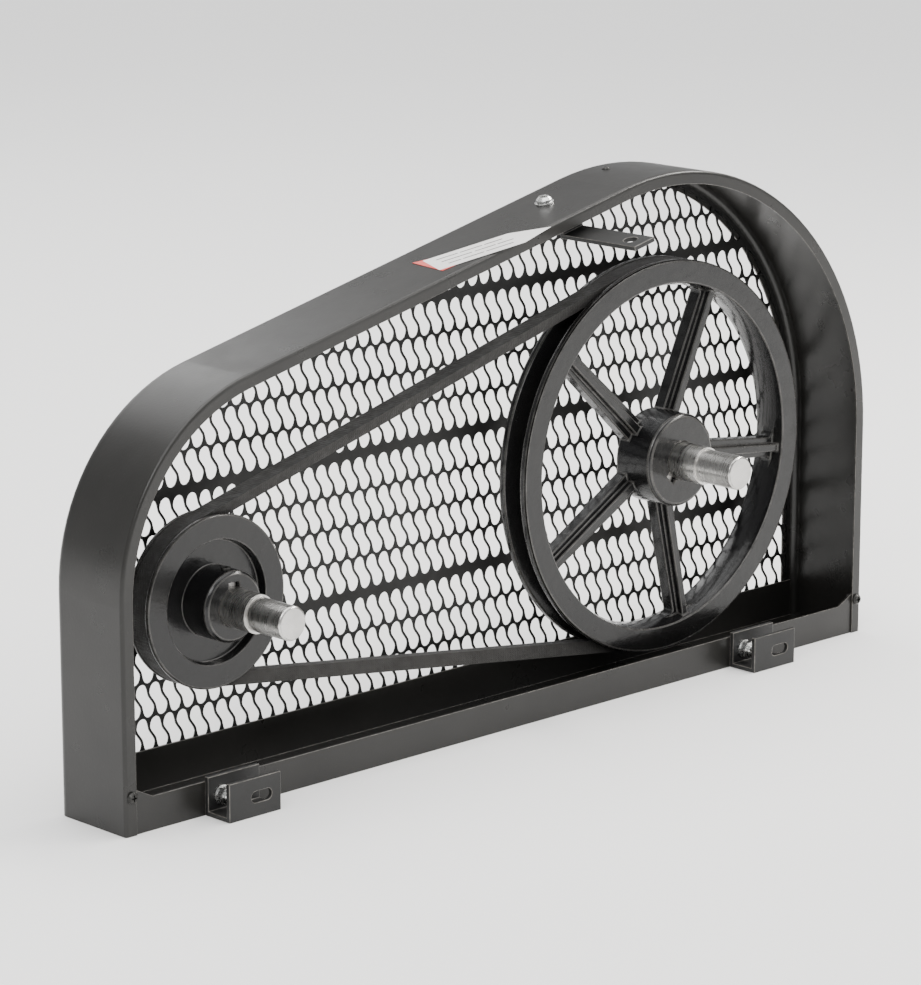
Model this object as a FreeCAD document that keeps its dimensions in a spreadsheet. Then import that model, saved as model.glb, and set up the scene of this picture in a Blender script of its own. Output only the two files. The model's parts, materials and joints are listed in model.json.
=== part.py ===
import FreeCAD, Part
import math
import os
import re

import Sketcher
from FreeCAD import Placement, Rotation, Vector

# V-belt drive of a two-cylinder compressor, with its guard.
# Millimetres, +Z up.  Y runs along the shafts: -Y is the machine side, +Y the mesh side.
# The origin is on the flywheel's axis, in the middle plane of the belt.

os.makedirs("parts", exist_ok=True)
doc = FreeCAD.newDocument("vbelt_drive")

DIMENSIONS = {
    # belt: A section, measured from its pitch line
    "belt_pitch_width": 11.0,
    "belt_above_pitch": 2.75,
    "belt_below_pitch": 5.25,
    "belt_half_angle": 20.0,
    "belt_cover_wall": 0.7,
    "belt_cord_above": 0.6,
    "belt_cord_below": 0.7,
    "belt_flank_gap": 0.25,
    # pulleys
    "fly_pitch_radius": 128.0,
    "motor_pitch_radius": 50.0,
    "groove_above_pitch": 3.3,
    "groove_below_pitch": 8.7,
    "fly_groove_half_angle": 19.0,
    "motor_groove_half_angle": 18.0,
    "groove_lip": 0.8,
    "centre_dx": 387.0,
    "centre_drop": 27.5,
    # flywheel casting
    "fly_rim_width": 24.0,
    "fly_rim_thickness": 17.5,
    "fly_rim_draft": 2.0,
    "fly_spoke_count": 5,
    "fly_spoke_width": 13.0,
    "fly_spoke_thickness": 9.0,
    "fly_spoke_angle": 138.0,
    "fly_rib_width": 5.0,
    "fly_rib_depth": 18.0,
    "fly_hub_radius": 31.0,
    "fly_fillet": 4.0,
    # motor pulley casting
    "pulley_width": 20.0,
    "pulley_rim_thickness": 16.0,
    "pulley_web_thickness": 8.0,
    "pulley_hub_radius": 22.0,
    # shafts, keys and end fastenings
    "hub_far": 5.0,
    "hub_near": 26.0,
    "crank_radius": 12.5,
    "motor_shaft_radius": 12.0,
    "shaft_near": 78.0,
    "shaft_far": 3.0,
    "shaft_chamfer": 1.0,
    "stub_length": 30.0,
    "stub_step": 1.5,
    "shaft_fit": 0.03,
    "key_width": 8.0,
    "key_height": 7.0,
    "key_depth": 4.0,
    "key_length": 24.0,
    "key_near": 23.0,
    "washer_thickness": 3.0,
    "washer_radius": 17.0,
    "spring_thickness": 2.4,
    "crank_bolt_radius": 5.0,
    "crank_bolt_head": 6.4,
    "crank_bolt_flats": 17.0,
    "motor_bolt_radius": 4.0,
    "motor_bolt_head": 5.3,
    "motor_bolt_flats": 13.0,
    "end_bolt_length": 22.0,
    "grub_radius": 3.0,
    "grub_length": 8.0,
    "grub_y": 18.0,
    # guard outline
    "guard_left": 481.0,
    "guard_corner_radius": 127.0,
    "guard_slope": 13.4,
    "guard_arc_radius": 194.5,
    "guard_arc_x": 22.0,
    "guard_bottom": 147.0,
    # guard section
    "guard_near": 36.5,
    "guard_far": 25.8,
    "sheet": 1.2,
    "near_lip": 8.5,
    "far_flange": 13.0,
    "near_bend": 2.2,
    "far_bend": 6.5,
    # mesh
    "mesh_sheet": 1.0,
    "mesh_edge_gap": 0.4,
    "mesh_margin": 2.6,
    "mesh_foot": 4.0,
    "mesh_solid_foot": 12.0,
    "slot_pitch": 10.4,
    "slot_lobe": 10.66,
    "slot_web": 1.4,
    "band_height": 5.2,
    "band_rows": 4,
    "band_top": 128.0,
    # base channel
    "channel_sheet": 1.5,
    "channel_gap": 0.3,
    "channel_near_height": 21.0,
    "channel_far_height": 27.0,
    "ear_rise": 9.0,
    "ear_top": 2.0,
    "ear_foot": 20.0,
    "near_notch": 0.6,
    "base_screw_x": 4.8,
    "base_screw_z": 123.3,
    # top bracket and its screw
    "bracket_x": 106.0,
    "bracket_screw_y": 3.0,
    "bracket_width": 18.0,
    "bracket_sheet": 3.0,
    "bracket_pad": 12.0,
    "bracket_step": 14.0,
    "bracket_step_y": 22.0,
    "bracket_reach": 84.0,
    "bracket_end_hole": 4.5,
    "bracket_end_inset": 12.0,
    "top_screw_radius": 3.0,
    "rivet_y": 8.0,
    "rivet_lean": 5.0,
    # small fasteners
    "small_gap": 0.3,
    "base_hole_radius": 2.6,
    "base_head_radius": 3.6,
    "base_head_height": 2.4,
    "base_shank_radius": 2.4,
    "base_shank_length": 7.0,
    "top_head_radius": 5.2,
    "top_head_rim": 1.6,
    "top_head_dome": 1.9,
    "top_dome_radius": 3.4,
    "top_screw_length": 18.0,
    "top_washer_radius": 6.2,
    "top_washer_thickness": 1.2,
    "nut_flats": 10.0,
    "nut_height": 5.0,
    "foot_head_height": 4.0,
    "foot_bolt_tail": 9.0,
    "foot_washer_radius": 6.0,
    "foot_washer_thickness": 1.6,
    # feet
    "foot_left_x": 400.0,
    "foot_right_x": 60.0,
    "foot_width": 40.0,
    "foot_height": 24.0,
    "foot_sheet": 3.0,
    "foot_reach": 22.3,
    "foot_slot_radius": 3.5,
    "foot_slot_length": 16.0,
    "foot_bolt_z": 135.0,
    "foot_bolt_shift": 10.0,
    "foot_slot_shift": 5.0,
    "foot_bolt_radius": 3.0,
    # label
    "label_thickness": 0.3,
    "label_length": 93.0,
    "label_half_width": 15.0,
    "label_barb": 17.6,
    "label_head": 30.0,
    "label_sweep": 7.0,
    "label_skew": 5.5,
    "label_x": 171.0,
    "label_y": 11.7,
}

sheet = doc.addObject("Spreadsheet::Sheet", "Dims")
for row, (alias, number) in enumerate(DIMENSIONS.items(), start=1):
    sheet.set(f"A{row}", alias)
    sheet.set(f"B{row}", str(number))
    sheet.setAlias(f"B{row}", alias)
doc.recompute()

ALIAS = re.compile(r"\b(" + "|".join(DIMENSIONS) + r")\b")
NODES = []


# ---------------------------------------------------------------- helpers

def formula(text):
    """Point every sheet alias in a formula at the sheet."""
    return ALIAS.sub(r"Dims.\1", str(text))


def value(text):
    """The number that a formula gives now."""
    result = sheet.evalExpression(formula(text))
    return float(getattr(result, "Value", result))


def bind(item, **formulas):
    """Bind an object's properties to formulas of the sheet's cells."""
    for name, text in formulas.items():
        item.setExpression(name, formula(text))


def place(item, x="0", y="0", z="0", axis=None, angle="0"):
    """Bind an object's placement to formulas."""
    if axis is not None:
        item.Placement = Placement(Vector(0, 0, 0), Rotation(Vector(*axis), value(angle)))
        item.setExpression("Placement.Rotation.Angle", formula(f"({angle}) * 1deg"))
    for name, text in zip("xyz", (x, y, z)):
        item.setExpression(f"Placement.Base.{name}", formula(f"({text}) * 1mm"))


def node(item, label):
    """Register an object as one of the drive's separate pieces."""
    item.Label = label
    NODES.append(item)
    return item


def part(kind, name, **formulas):
    """One Part-workbench primitive with bound sizes."""
    item = doc.addObject(kind, name)
    bind(item, **formulas)
    return item


def joined(name, *items):
    """The union of several objects."""
    item = doc.addObject("Part::MultiFuse", name)
    item.Shapes = list(items)
    return item


def cut(name, base, tool):
    """One object less another."""
    item = doc.addObject("Part::Cut", name)
    item.Base = base
    item.Tool = tool
    return item


def bar_y(name, radius, low, high, x="0", z="0"):
    """A cylinder along Y from y=low to y=high."""
    item = part("Part::Cylinder", name, Radius=radius, Height=f"({high}) - ({low})")
    place(item, x, low, z, axis=(1, 0, 0), angle="-90")
    return item


def hexagon_y(name, flats, low, high, x="0", z="0"):
    """A hexagonal prism along Y from y=low to y=high."""
    item = part("Part::Prism", name, Circumradius=f"({flats}) / 2 / cos(30)", Height=f"({high}) - ({low})")
    item.Polygon = 6
    place(item, x, low, z, axis=(1, 0, 0), angle="-90")
    return item


def box(name, x, y, z, dx, dy, dz):
    """A box from its low corner and its sides."""
    item = part("Part::Box", name, Length=dx, Width=dy, Height=dz)
    place(item, x, y, z)
    return item


def origin_part(body, role):
    """One of a body's own origin planes or axes."""
    return next(item for item in body.Origin.OriginFeatures if item.Role == role)


def fix_point(sketch, index, which, point):
    """Hold one sketch vertex at a place given by two formulas."""
    for kind, text in zip(("DistanceX", "DistanceY"), point):
        number = sketch.addConstraint(Sketcher.Constraint(kind, -1, 1, index, which, value(text)))
        sketch.setExpression(f"Constraints[{number}]", formula(text))


def polygon(sketch, points):
    """A closed polygon whose corners are pairs of formulas."""
    corners = [Vector(value(a), value(b), 0) for a, b in points]
    first = sketch.GeometryCount
    for start, end in zip(corners, corners[1:] + corners[:1]):
        sketch.addGeometry(Part.LineSegment(start, end), False)
    for step, point in enumerate(points):
        after = first + (step + 1) % len(points)
        sketch.addConstraint(Sketcher.Constraint("Coincident", first + step, 2, after, 1))
        fix_point(sketch, first + step, 1, point)


def circle(sketch, x, y, radius):
    """A circle with bound centre and radius."""
    middle = Vector(value(x), value(y), 0)
    index = sketch.addGeometry(Part.Circle(middle, Vector(0, 0, 1), value(radius)), False)
    fix_point(sketch, index, 3, (x, y))
    number = sketch.addConstraint(Sketcher.Constraint("Radius", index, value(radius)))
    sketch.setExpression(f"Constraints[{number}]", formula(radius))


def arc(sketch, start, middle, end, radius):
    """An arc through three points, anticlockwise, with bound ends and radius."""
    places = [Vector(value(a), value(b), 0) for a, b in (start, middle, end)]
    turn = (places[1] - places[0]).cross(places[2] - places[1]).z
    if turn < 0:
        places.reverse()
        start, end = end, start
    index = sketch.addGeometry(Part.Arc(*places), False)
    fix_point(sketch, index, 1, start)
    fix_point(sketch, index, 2, end)
    number = sketch.addConstraint(Sketcher.Constraint("Radius", index, value(radius)))
    sketch.setExpression(f"Constraints[{number}]", formula(radius))


def line(sketch, start, end):
    """A straight edge with bound ends."""
    places = [Vector(value(a), value(b), 0) for a, b in (start, end)]
    index = sketch.addGeometry(Part.LineSegment(*places), False)
    fix_point(sketch, index, 1, start)
    fix_point(sketch, index, 2, end)


def sketch_on(body, role, name, offset="0"):
    """A sketch on one of a body's origin planes, shifted along the plane's normal."""
    sketch = body.newObject("Sketcher::SketchObject", name)
    sketch.AttachmentSupport = (origin_part(body, role), [""])
    sketch.MapMode = "FlatFace"
    sketch.setExpression("AttachmentOffset.Base.z", formula(f"({offset}) * 1mm"))
    return sketch


def feature(body, kind, name, sketch, **settings):
    """One sketch-based PartDesign feature."""
    item = body.newObject(kind, name)
    item.Profile = sketch
    for key, setting in settings.items():
        setattr(item, key, setting)
    sketch.Visibility = False
    return item


def turned(body, name, sketch, kind="PartDesign::Revolution"):
    """A full turn of a sketch about the body's own Y axis."""
    return feature(body, kind, name, sketch, ReferenceAxis=(origin_part(body, "Y_Axis"), [""]), Angle=360.0)


def prism(body, name, sketch, length, kind="PartDesign::Pad"):
    """A pad or pocket, half its length to each side of the sketch."""
    item = feature(body, kind, name, sketch, Midplane=True)
    bind(item, Length=length)
    return item


# ---------------------------------------------------------------- belt

WRAP = "(asin((fly_pitch_radius - motor_pitch_radius) / centre_distance) / 1deg)"
CENTRE = "sqrt(centre_dx * centre_dx + centre_drop * centre_drop)"
SLANT = "(atan(centre_drop / centre_dx) / 1deg)"


def with_centres(text):
    """Write the centre distance out in a formula."""
    return text.replace("centre_distance", CENTRE)


def belt_section(name, centre, side, pitch_radius, low, high, inset):
    """A slice of the belt's V section, between two heights over the pitch line."""
    sketch = doc.addObject("Sketcher::SketchObject", name)
    edge = "belt_pitch_width / 2 + ({0}) * tan(belt_half_angle) - ({1})"
    corners = []
    for height, sign in ((low, -1), (low, 1), (high, 1), (high, -1)):
        across = f"{sign} * ({edge.format(height, inset)})"
        corners.append((f"{centre} + {side} * ({pitch_radius} + ({height}))", across))
    polygon(sketch, corners)
    return sketch


def belt_loop(name, low, high, inset):
    """A belt layer: two wraps and two straight runs, with the pulleys' centres on local X."""
    away = with_centres("-centre_distance")
    fly = belt_section(f"{name}_fly", "0", 1, "fly_pitch_radius", low, high, inset)
    motor = belt_section(f"{name}_motor", away, -1, "motor_pitch_radius", low, high, inset)
    pieces = []
    for end, sketch, base_x, turn in (("fly", fly, "0", "180 + 2 * "), ("motor", motor, away, "180 - 2 * ")):
        wrap = doc.addObject("Part::Revolution", f"{name}_{end}_wrap")
        wrap.Source = sketch
        wrap.Axis = Vector(0, 1, 0)
        wrap.Solid = True
        wrap.Symmetric = True
        wrap.setExpression("Base.x", formula(f"({base_x}) * 1mm"))
        wrap.setExpression("Angle", formula(with_centres(f"{turn}{WRAP}")))
        pieces.append(wrap)
    for side, sign in (("upper", 1), ("lower", -1)):
        end = belt_section(f"{name}_{side}", "0", 1, "fly_pitch_radius", low, high, inset)
        place(end, axis=(0, 1, 0), angle=with_centres(f"-{sign} * (90 + {WRAP})"))
        run = doc.addObject("Part::Extrusion", f"{name}_{side}_run")
        run.Base = end
        run.DirMode = "Normal"
        run.Solid = True
        run.Reversed = sign < 0
        bind(run, LengthFwd=with_centres(f"centre_distance * cos({WRAP})"))
        pieces.append(run)
    loop = joined(f"{name}_loop", *pieces)
    loop.Refine = True
    return loop


def belt():
    """The wrapped belt, taken apart into its four layers."""
    below = "-belt_below_pitch"
    wall = "belt_cover_wall"
    side = "belt_cover_wall / cos(belt_half_angle)"
    outside = belt_loop("belt_outside", below, "belt_above_pitch", "0")
    inside = belt_loop("belt_inside", f"{below} + {wall}", f"belt_above_pitch - {wall}", side)
    layers = [
        cut("belt_cover", outside, inside),
        belt_loop("belt_base_rubber", f"{below} + {wall}", "-belt_cord_below", side),
        belt_loop("belt_cords", "-belt_cord_below", "belt_cord_above", side),
        belt_loop("belt_top_rubber", "belt_cord_above", f"belt_above_pitch - {wall}", side),
    ]
    for layer, label in zip(layers, ("belt_cover", "belt_base_rubber", "belt_cords", "belt_top_rubber")):
        place(layer, axis=(0, 1, 0), angle=f"-{SLANT}")
        node(layer, label)


# ---------------------------------------------------------------- pulleys

def rim_profile(sketch, pitch_radius, width, thickness, web, half_angle, draft):
    """Half a grooved rim: a ring with a V groove, drafted inside."""
    outer = f"({pitch_radius} + groove_above_pitch)"
    inner = f"({outer} - {thickness})"
    floor = f"({pitch_radius} - groove_below_pitch)"
    throat = f"(belt_pitch_width / 2 + belt_flank_gap + groove_above_pitch * tan({half_angle}))"
    root = f"(belt_pitch_width / 2 + belt_flank_gap - groove_below_pitch * tan({half_angle}))"
    polygon(sketch, (
        (f"{inner} + {draft}", f"-{width} / 2"),
        (f"{outer} - groove_lip", f"-{width} / 2"),
        (outer, f"-{width} / 2 + groove_lip"),
        (outer, f"-{throat} - groove_lip / 2"),
        (f"{outer} - groove_lip", f"-{throat} + groove_lip * tan({half_angle})"),
        (floor, f"-{root}"),
        (floor, root),
        (f"{outer} - groove_lip", f"{throat} - groove_lip * tan({half_angle})"),
        (outer, f"{throat} + groove_lip / 2"),
        (outer, f"{width} / 2 - groove_lip"),
        (f"{outer} - groove_lip", f"{width} / 2"),
        (f"{inner} + {draft}", f"{width} / 2"),
        (inner, f"{web} / 2"),
        (inner, f"-{web} / 2"),
    ))


def hub_profile(sketch, bore, radius):
    """Half a hub with chamfered ends."""
    polygon(sketch, (
        (bore, "-hub_near"),
        (f"{radius} - 2", "-hub_near"),
        (radius, "-hub_near + 2"),
        (radius, "hub_far - 1.5"),
        (f"{radius} - 1.5", "hub_far"),
        (bore, "hub_far"),
    ))


def keyway(body, name, bore):
    """A slot along the whole hub, over the bore."""
    sketch = sketch_on(body, "XZ_Plane", f"{name}_sketch")
    top = f"{bore} + key_height - key_depth + 0.2"
    polygon(sketch, (
        ("-key_width / 2 - 0.02", "0"),
        ("key_width / 2 + 0.02", "0"),
        ("key_width / 2 + 0.02", top),
        ("-key_width / 2 - 0.02", top),
    ))
    prism(body, name, sketch, "4 * hub_near", "PartDesign::Pocket")


def rounded(body, name, radius, chosen):
    """A fillet on the chosen edges of the body so far."""
    doc.recompute()
    base = body.Tip
    edges = [f"Edge{index}" for index, edge in enumerate(base.Shape.Edges, start=1) if chosen(edge)]
    item = body.newObject("PartDesign::Fillet", name)
    item.Base = (base, edges)
    bind(item, Radius=radius)
    doc.recompute()
    return item


def from_axis(point):
    """Distance of a point from the body's own Y axis."""
    return math.hypot(point.x, point.z)


def flywheel():
    """Cast flywheel: grooved rim, five ribbed spokes and a keyed hub."""
    body = doc.addObject("PartDesign::Body", "flywheel")
    hub = sketch_on(body, "XY_Plane", "fly_hub_sketch")
    hub_profile(hub, "crank_radius + shaft_fit", "fly_hub_radius")
    turned(body, "fly_hub", hub)

    reach = "(fly_pitch_radius + groove_above_pitch - fly_rim_thickness + 2)"
    originals = []
    for name, width, depth in (("spoke", "fly_spoke_width", "fly_spoke_thickness"),
                               ("rib", "fly_rib_width", "fly_rib_depth")):
        sketch = sketch_on(body, "XZ_Plane", f"fly_{name}_sketch")
        polygon(sketch, (
            ("fly_hub_radius - 6", f"-{width} / 2 * 1.25"),
            (reach, f"-{width} / 2"),
            (reach, f"{width} / 2"),
            ("fly_hub_radius - 6", f"{width} / 2 * 1.25"),
        ))
        originals.append(prism(body, f"fly_{name}", sketch, depth))
    pattern = body.newObject("PartDesign::PolarPattern", "fly_spokes")
    pattern.Originals = originals
    pattern.Axis = (origin_part(body, "Y_Axis"), [""])
    pattern.Angle = 360
    bind(pattern, Occurrences="fly_spoke_count")
    body.Tip = pattern

    rim = sketch_on(body, "XY_Plane", "fly_rim_sketch")
    rim_profile(rim, "fly_pitch_radius", "fly_rim_width", "fly_rim_thickness", "fly_spoke_thickness",
                "fly_groove_half_angle", "fly_rim_draft")
    turned(body, "fly_rim", rim)

    hub_line = value("fly_hub_radius + fly_fillet")
    rim_line = value("fly_pitch_radius + groove_above_pitch - fly_rim_thickness - fly_fillet")
    half = value("fly_spoke_thickness / 2")

    def spoke_root(edge):
        """Short edges across a spoke, where it meets the hub or the rim."""
        ends = [vertex.Point for vertex in edge.Vertexes]
        if len(ends) < 2 or abs(abs(ends[0].y - ends[1].y) - 2 * half) > 0.01:
            return False
        radius = from_axis(ends[0])
        return radius < hub_line or radius > rim_line

    rounded(body, "fly_root_fillets", "fly_fillet", spoke_root)
    keyway(body, "fly_keyway", "crank_radius + shaft_fit")
    place(body, axis=(0, 1, 0), angle="-fly_spoke_angle")
    node(body, "flywheel")


def motor_pulley():
    """Cast motor pulley: grooved rim, solid web and a keyed hub."""
    body = doc.addObject("PartDesign::Body", "motor_pulley")
    hub = sketch_on(body, "XY_Plane", "pulley_hub_sketch")
    hub_profile(hub, "motor_shaft_radius + shaft_fit", "pulley_hub_radius")
    turned(body, "pulley_hub", hub)
    web = sketch_on(body, "XY_Plane", "pulley_web_sketch")
    outer = "(motor_pitch_radius + groove_above_pitch - pulley_rim_thickness + 1)"
    polygon(web, (
        ("pulley_hub_radius - 3", "-pulley_web_thickness / 2"),
        (outer, "-pulley_web_thickness / 2"),
        (outer, "pulley_web_thickness / 2"),
        ("pulley_hub_radius - 3", "pulley_web_thickness / 2"),
    ))
    turned(body, "pulley_web", web)
    rim = sketch_on(body, "XY_Plane", "pulley_rim_sketch")
    rim_profile(rim, "motor_pitch_radius", "pulley_width", "pulley_rim_thickness", "pulley_web_thickness",
                "motor_groove_half_angle", "1")
    turned(body, "pulley_rim", rim)
    keyway(body, "pulley_keyway", "motor_shaft_radius + shaft_fit")
    tap = sketch_on(body, "XY_Plane", "pulley_tap_sketch")
    circle(tap, "0", "-grub_y", "grub_radius")
    hole = feature(body, "PartDesign::Pocket", "pulley_tap", tap, Reversed=True)
    bind(hole, Length="2 * pulley_hub_radius")
    place(body, "-centre_dx", "0", "-centre_drop")
    node(body, "motor_pulley")


# ---------------------------------------------------------------- shafts

def shaft(label, radius, tap):
    """A shaft end with a keyway and a tapped end, and a stub with a shoulder at its machine end."""
    body = doc.addObject("PartDesign::Body", label)
    profile = sketch_on(body, "XY_Plane", f"{label}_profile")
    polygon(profile, (
        ("0", "-shaft_near"),
        (f"{radius} - stub_step - shaft_chamfer", "-shaft_near"),
        (f"{radius} - stub_step", "-shaft_near + shaft_chamfer"),
        (f"{radius} - stub_step", "-shaft_near + stub_length"),
        (radius, "-shaft_near + stub_length"),
        (radius, "shaft_far - shaft_chamfer"),
        (f"{radius} - shaft_chamfer", "shaft_far"),
        (tap, "shaft_far"),
        (tap, "shaft_far - end_bolt_length"),
        ("0", "shaft_far - end_bolt_length - 3"),
    ))
    turned(body, f"{label}_turned", profile)
    seat = sketch_on(body, "XY_Plane", f"{label}_seat", f"{radius} - key_depth")
    polygon(seat, (
        ("-key_width / 2", "-key_near"),
        ("key_width / 2", "-key_near"),
        ("key_width / 2", "-key_near + key_length"),
        ("-key_width / 2", "-key_near + key_length"),
    ))
    slot = feature(body, "PartDesign::Pocket", f"{label}_keyway", seat, Reversed=True)
    bind(slot, Length="2 * key_depth")
    return body


def retained(prefix, shaft_label, radius, bolt_radius, bolt_head, bolt_flats, x, z, turn="0"):
    """A shaft end with its key, washer, spring washer and end bolt, all at one axis."""
    body = shaft(shaft_label, radius, f"{bolt_radius} + 0.05")
    place(body, x, "0", z, axis=(0, 1, 0), angle=turn)
    node(body, shaft_label)

    key = doc.addObject("PartDesign::Body", f"{prefix}_key")
    outline = sketch_on(key, "XY_Plane", f"{prefix}_key_sketch", f"{radius} - key_depth")
    polygon(outline, (
        ("-key_width / 2 + 0.5", "-key_near"),
        ("key_width / 2 - 0.5", "-key_near"),
        ("key_width / 2", "-key_near + 0.5"),
        ("key_width / 2", "-key_near + key_length - 0.5"),
        ("key_width / 2 - 0.5", "-key_near + key_length"),
        ("-key_width / 2 + 0.5", "-key_near + key_length"),
        ("-key_width / 2", "-key_near + key_length - 0.5"),
        ("-key_width / 2", "-key_near + 0.5"),
    ))
    block = feature(key, "PartDesign::Pad", f"{prefix}_key_block", outline)
    bind(block, Length="key_height")
    place(key, x, "0", z, axis=(0, 1, 0), angle=turn)
    node(key, f"{prefix}_key")

    face = "hub_far"
    disc = bar_y(f"{prefix}_washer_disc", "washer_radius", face, f"{face} + washer_thickness", x, z)
    hole = bar_y(f"{prefix}_washer_hole", f"{bolt_radius} + 0.3", "0", "30", x, z)
    node(cut(f"{prefix}_washer", disc, hole), f"{prefix}_washer")

    start = f"{face} + washer_thickness"
    ring = bar_y(f"{prefix}_spring_ring", f"{bolt_radius} * 1.75", start, f"{start} + spring_thickness", x, z)
    bore = bar_y(f"{prefix}_spring_bore", f"{bolt_radius} + 0.2", "0", "30", x, z)
    gap = box(f"{prefix}_spring_gap", x, "0", z, "1.2", "30", "30")
    tools = joined(f"{prefix}_spring_tools", bore, gap)
    node(cut(f"{prefix}_spring_washer", ring, tools), f"{prefix}_spring_washer")

    seat = f"{start} + spring_thickness"
    head = hexagon_y(f"{prefix}_bolt_hex", bolt_flats, seat, f"{seat} + {bolt_head}", x, z)
    crown = part("Part::Cone", f"{prefix}_bolt_crown", Radius1=f"{bolt_flats} / 2 + 3",
                 Radius2=f"{bolt_flats} / 2 - 0.5", Height=f"{bolt_head} + 0.01")
    place(crown, x, f"{seat} - 0.005", z, axis=(1, 0, 0), angle="-90")
    chamfered = doc.addObject("Part::MultiCommon", f"{prefix}_bolt_head")
    chamfered.Shapes = [head, crown]
    shank = bar_y(f"{prefix}_bolt_shank", bolt_radius, f"{seat} - end_bolt_length", f"{seat} + 1", x, z)
    node(joined(f"{prefix}_bolt", chamfered, shank), f"{prefix}_bolt")


def grub_screw():
    """Set screw in the motor pulley's hub, bearing on the key."""
    x = "-centre_dx"
    base = "motor_shaft_radius - key_depth + key_height"
    stem = part("Part::Cylinder", "grub_stem", Radius="grub_radius - 0.03", Height="grub_length")
    place(stem, x, "-grub_y", f"-centre_drop + {base}")
    socket = part("Part::Prism", "grub_socket", Circumradius="1.7", Height="grub_length")
    socket.Polygon = 6
    place(socket, x, "-grub_y", f"-centre_drop + {base} + grub_length / 2")
    node(cut("motor_set_screw", stem, socket), "motor_set_screw")


# ---------------------------------------------------------------- guard

CORNER_X = "(guard_corner_radius - guard_left)"
CORNER_Z = ("((guard_arc_radius - guard_corner_radius"
            " + (guard_arc_x - guard_left + guard_corner_radius) * sin(guard_slope)) / cos(guard_slope))")


def polar(centre_x, centre_z, radius, angle):
    """A point on a circle, as a pair of formulas."""
    return f"{centre_x} + {radius} * cos({angle})", f"{centre_z} + {radius} * sin({angle})"


def outline(sketch, inset, bottom, closed=True):
    """The guard's outline drawn in by an inset: right wall, big arc, slant, corner arc, left wall."""
    corner = f"(guard_corner_radius - ({inset}))"
    arc_radius = f"(guard_arc_radius - ({inset}))"
    left = f"({inset} - guard_left)"
    right = f"({arc_radius} - guard_arc_x)"
    tangent = "(90 + guard_slope)"
    points = [
        (right, bottom),
        (right, "0"),
        polar("-guard_arc_x", "0", arc_radius, tangent),
        polar(CORNER_X, CORNER_Z, corner, tangent),
        (left, CORNER_Z),
        (left, bottom),
    ]
    arc_middle = polar("-guard_arc_x", "0", arc_radius, "(45 + guard_slope / 2)")
    corner_middle = polar(CORNER_X, CORNER_Z, corner, "(135 + guard_slope / 2)")
    line(sketch, points[0], points[1])
    arc(sketch, points[1], arc_middle, points[2], arc_radius)
    line(sketch, points[2], points[3])
    arc(sketch, points[3], corner_middle, points[4], corner)
    line(sketch, points[4], points[5])
    if closed:
        line(sketch, points[5], points[0])


def rim_section(sketch):
    """The folded band's section at the foot of the right wall, with both bends rounded."""
    wall = "(guard_arc_radius - guard_arc_x)"
    near = "(-guard_near)"
    far = "guard_far"
    half = "(1 - cos(45))"

    def bend(side, y, sign, outer):
        """Ends and middle of a bend's outer or inner arc, with its radius."""
        radius = f"({side} - {outer} * sheet)"
        edge = f"({outer} * sheet)"
        start = (f"{wall} - {edge}", f"{y} + {sign} * ({edge} + {radius})")
        middle = (f"{wall} - {edge} - {radius} * {half}", f"{y} + {sign} * ({edge} + {radius} * {half})")
        end = (f"{wall} - {edge} - {radius}", f"{y} + {sign} * {edge}")
        return [start, middle, end], radius

    near_out = bend("near_bend", near, 1, 0)
    near_in = bend("near_bend", near, 1, 1)
    far_out = bend("far_bend", far, -1, 0)
    far_in = bend("far_bend", far, -1, 1)
    lip = f"{wall} - near_lip"
    flange = f"{wall} - far_flange"
    chain = [
        (near_out[0][::-1], near_out[1]),
        (far_out[0], far_out[1]),
        ([(flange, far)], None),
        ([(flange, f"{far} - sheet")], None),
        (far_in[0][::-1], far_in[1]),
        (near_in[0], near_in[1]),
        ([(lip, f"{near} + sheet")], None),
        ([(lip, near)], None),
    ]
    for points, radius in chain:
        if radius is not None:
            arc(sketch, *points, radius)
    for (this, _), (after, _) in zip(chain, chain[1:] + chain[:1]):
        line(sketch, this[-1], after[0])


def guard_rim():
    """Folded band with a near lip and a far flange, swept round the outline."""
    body = doc.addObject("PartDesign::Body", "rim_band")
    path = sketch_on(body, "XZ_Plane", "rim_path")
    outline(path, "0", "-guard_bottom", closed=False)
    section = sketch_on(body, "XY_Plane", "rim_section", "-guard_bottom")
    rim_section(section)
    doc.recompute()
    sweep = body.newObject("PartDesign::AdditivePipe", "rim_sweep")
    sweep.Profile = section
    sweep.Spine = (path, [f"Edge{index + 1}" for index in range(path.GeometryCount)])
    holes = sketch_on(body, "XZ_Plane", "rim_screw_holes", "guard_near")
    for x in HOLE_SIDES:
        circle(holes, x, "-base_screw_z", "base_hole_radius")
    prism(body, "rim_screw_pocket", holes, "20", "PartDesign::Pocket")
    place(body)
    drill = part("Part::Cylinder", "rim_top_drill", Radius="top_screw_radius + small_gap", Height="4 * sheet")
    on_slant(drill, BRACKET_ALONG, "-bracket_screw_y", "-2 * sheet")
    node(cut("guard_rim", body, drill), "guard_rim")


def slot_wire(x, z):
    """One leaning six-sided slot, its middle at x, z."""
    pitch, lobe = value("slot_pitch"), value("slot_lobe")
    lean = math.atan2(pitch / 2, lobe)
    half_width = (pitch * math.cos(lean) - value("slot_web")) / 2
    half_length = (lobe - value("slot_web") / 2) / math.cos(lean)
    along = Vector(-math.sin(lean), 0, math.cos(lean))
    across = Vector(math.cos(lean), 0, math.sin(lean))
    middle = Vector(x, value("guard_far - sheet - mesh_sheet"), z)
    straight = half_length - half_width
    corners = [middle + along * reach + across * side for reach, side in (
        (half_length, 0), (straight, -half_width), (-straight, -half_width),
        (-half_length, 0), (-straight, half_width), (straight, half_width))]
    return Part.makePolygon(corners + corners[:1])


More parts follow.
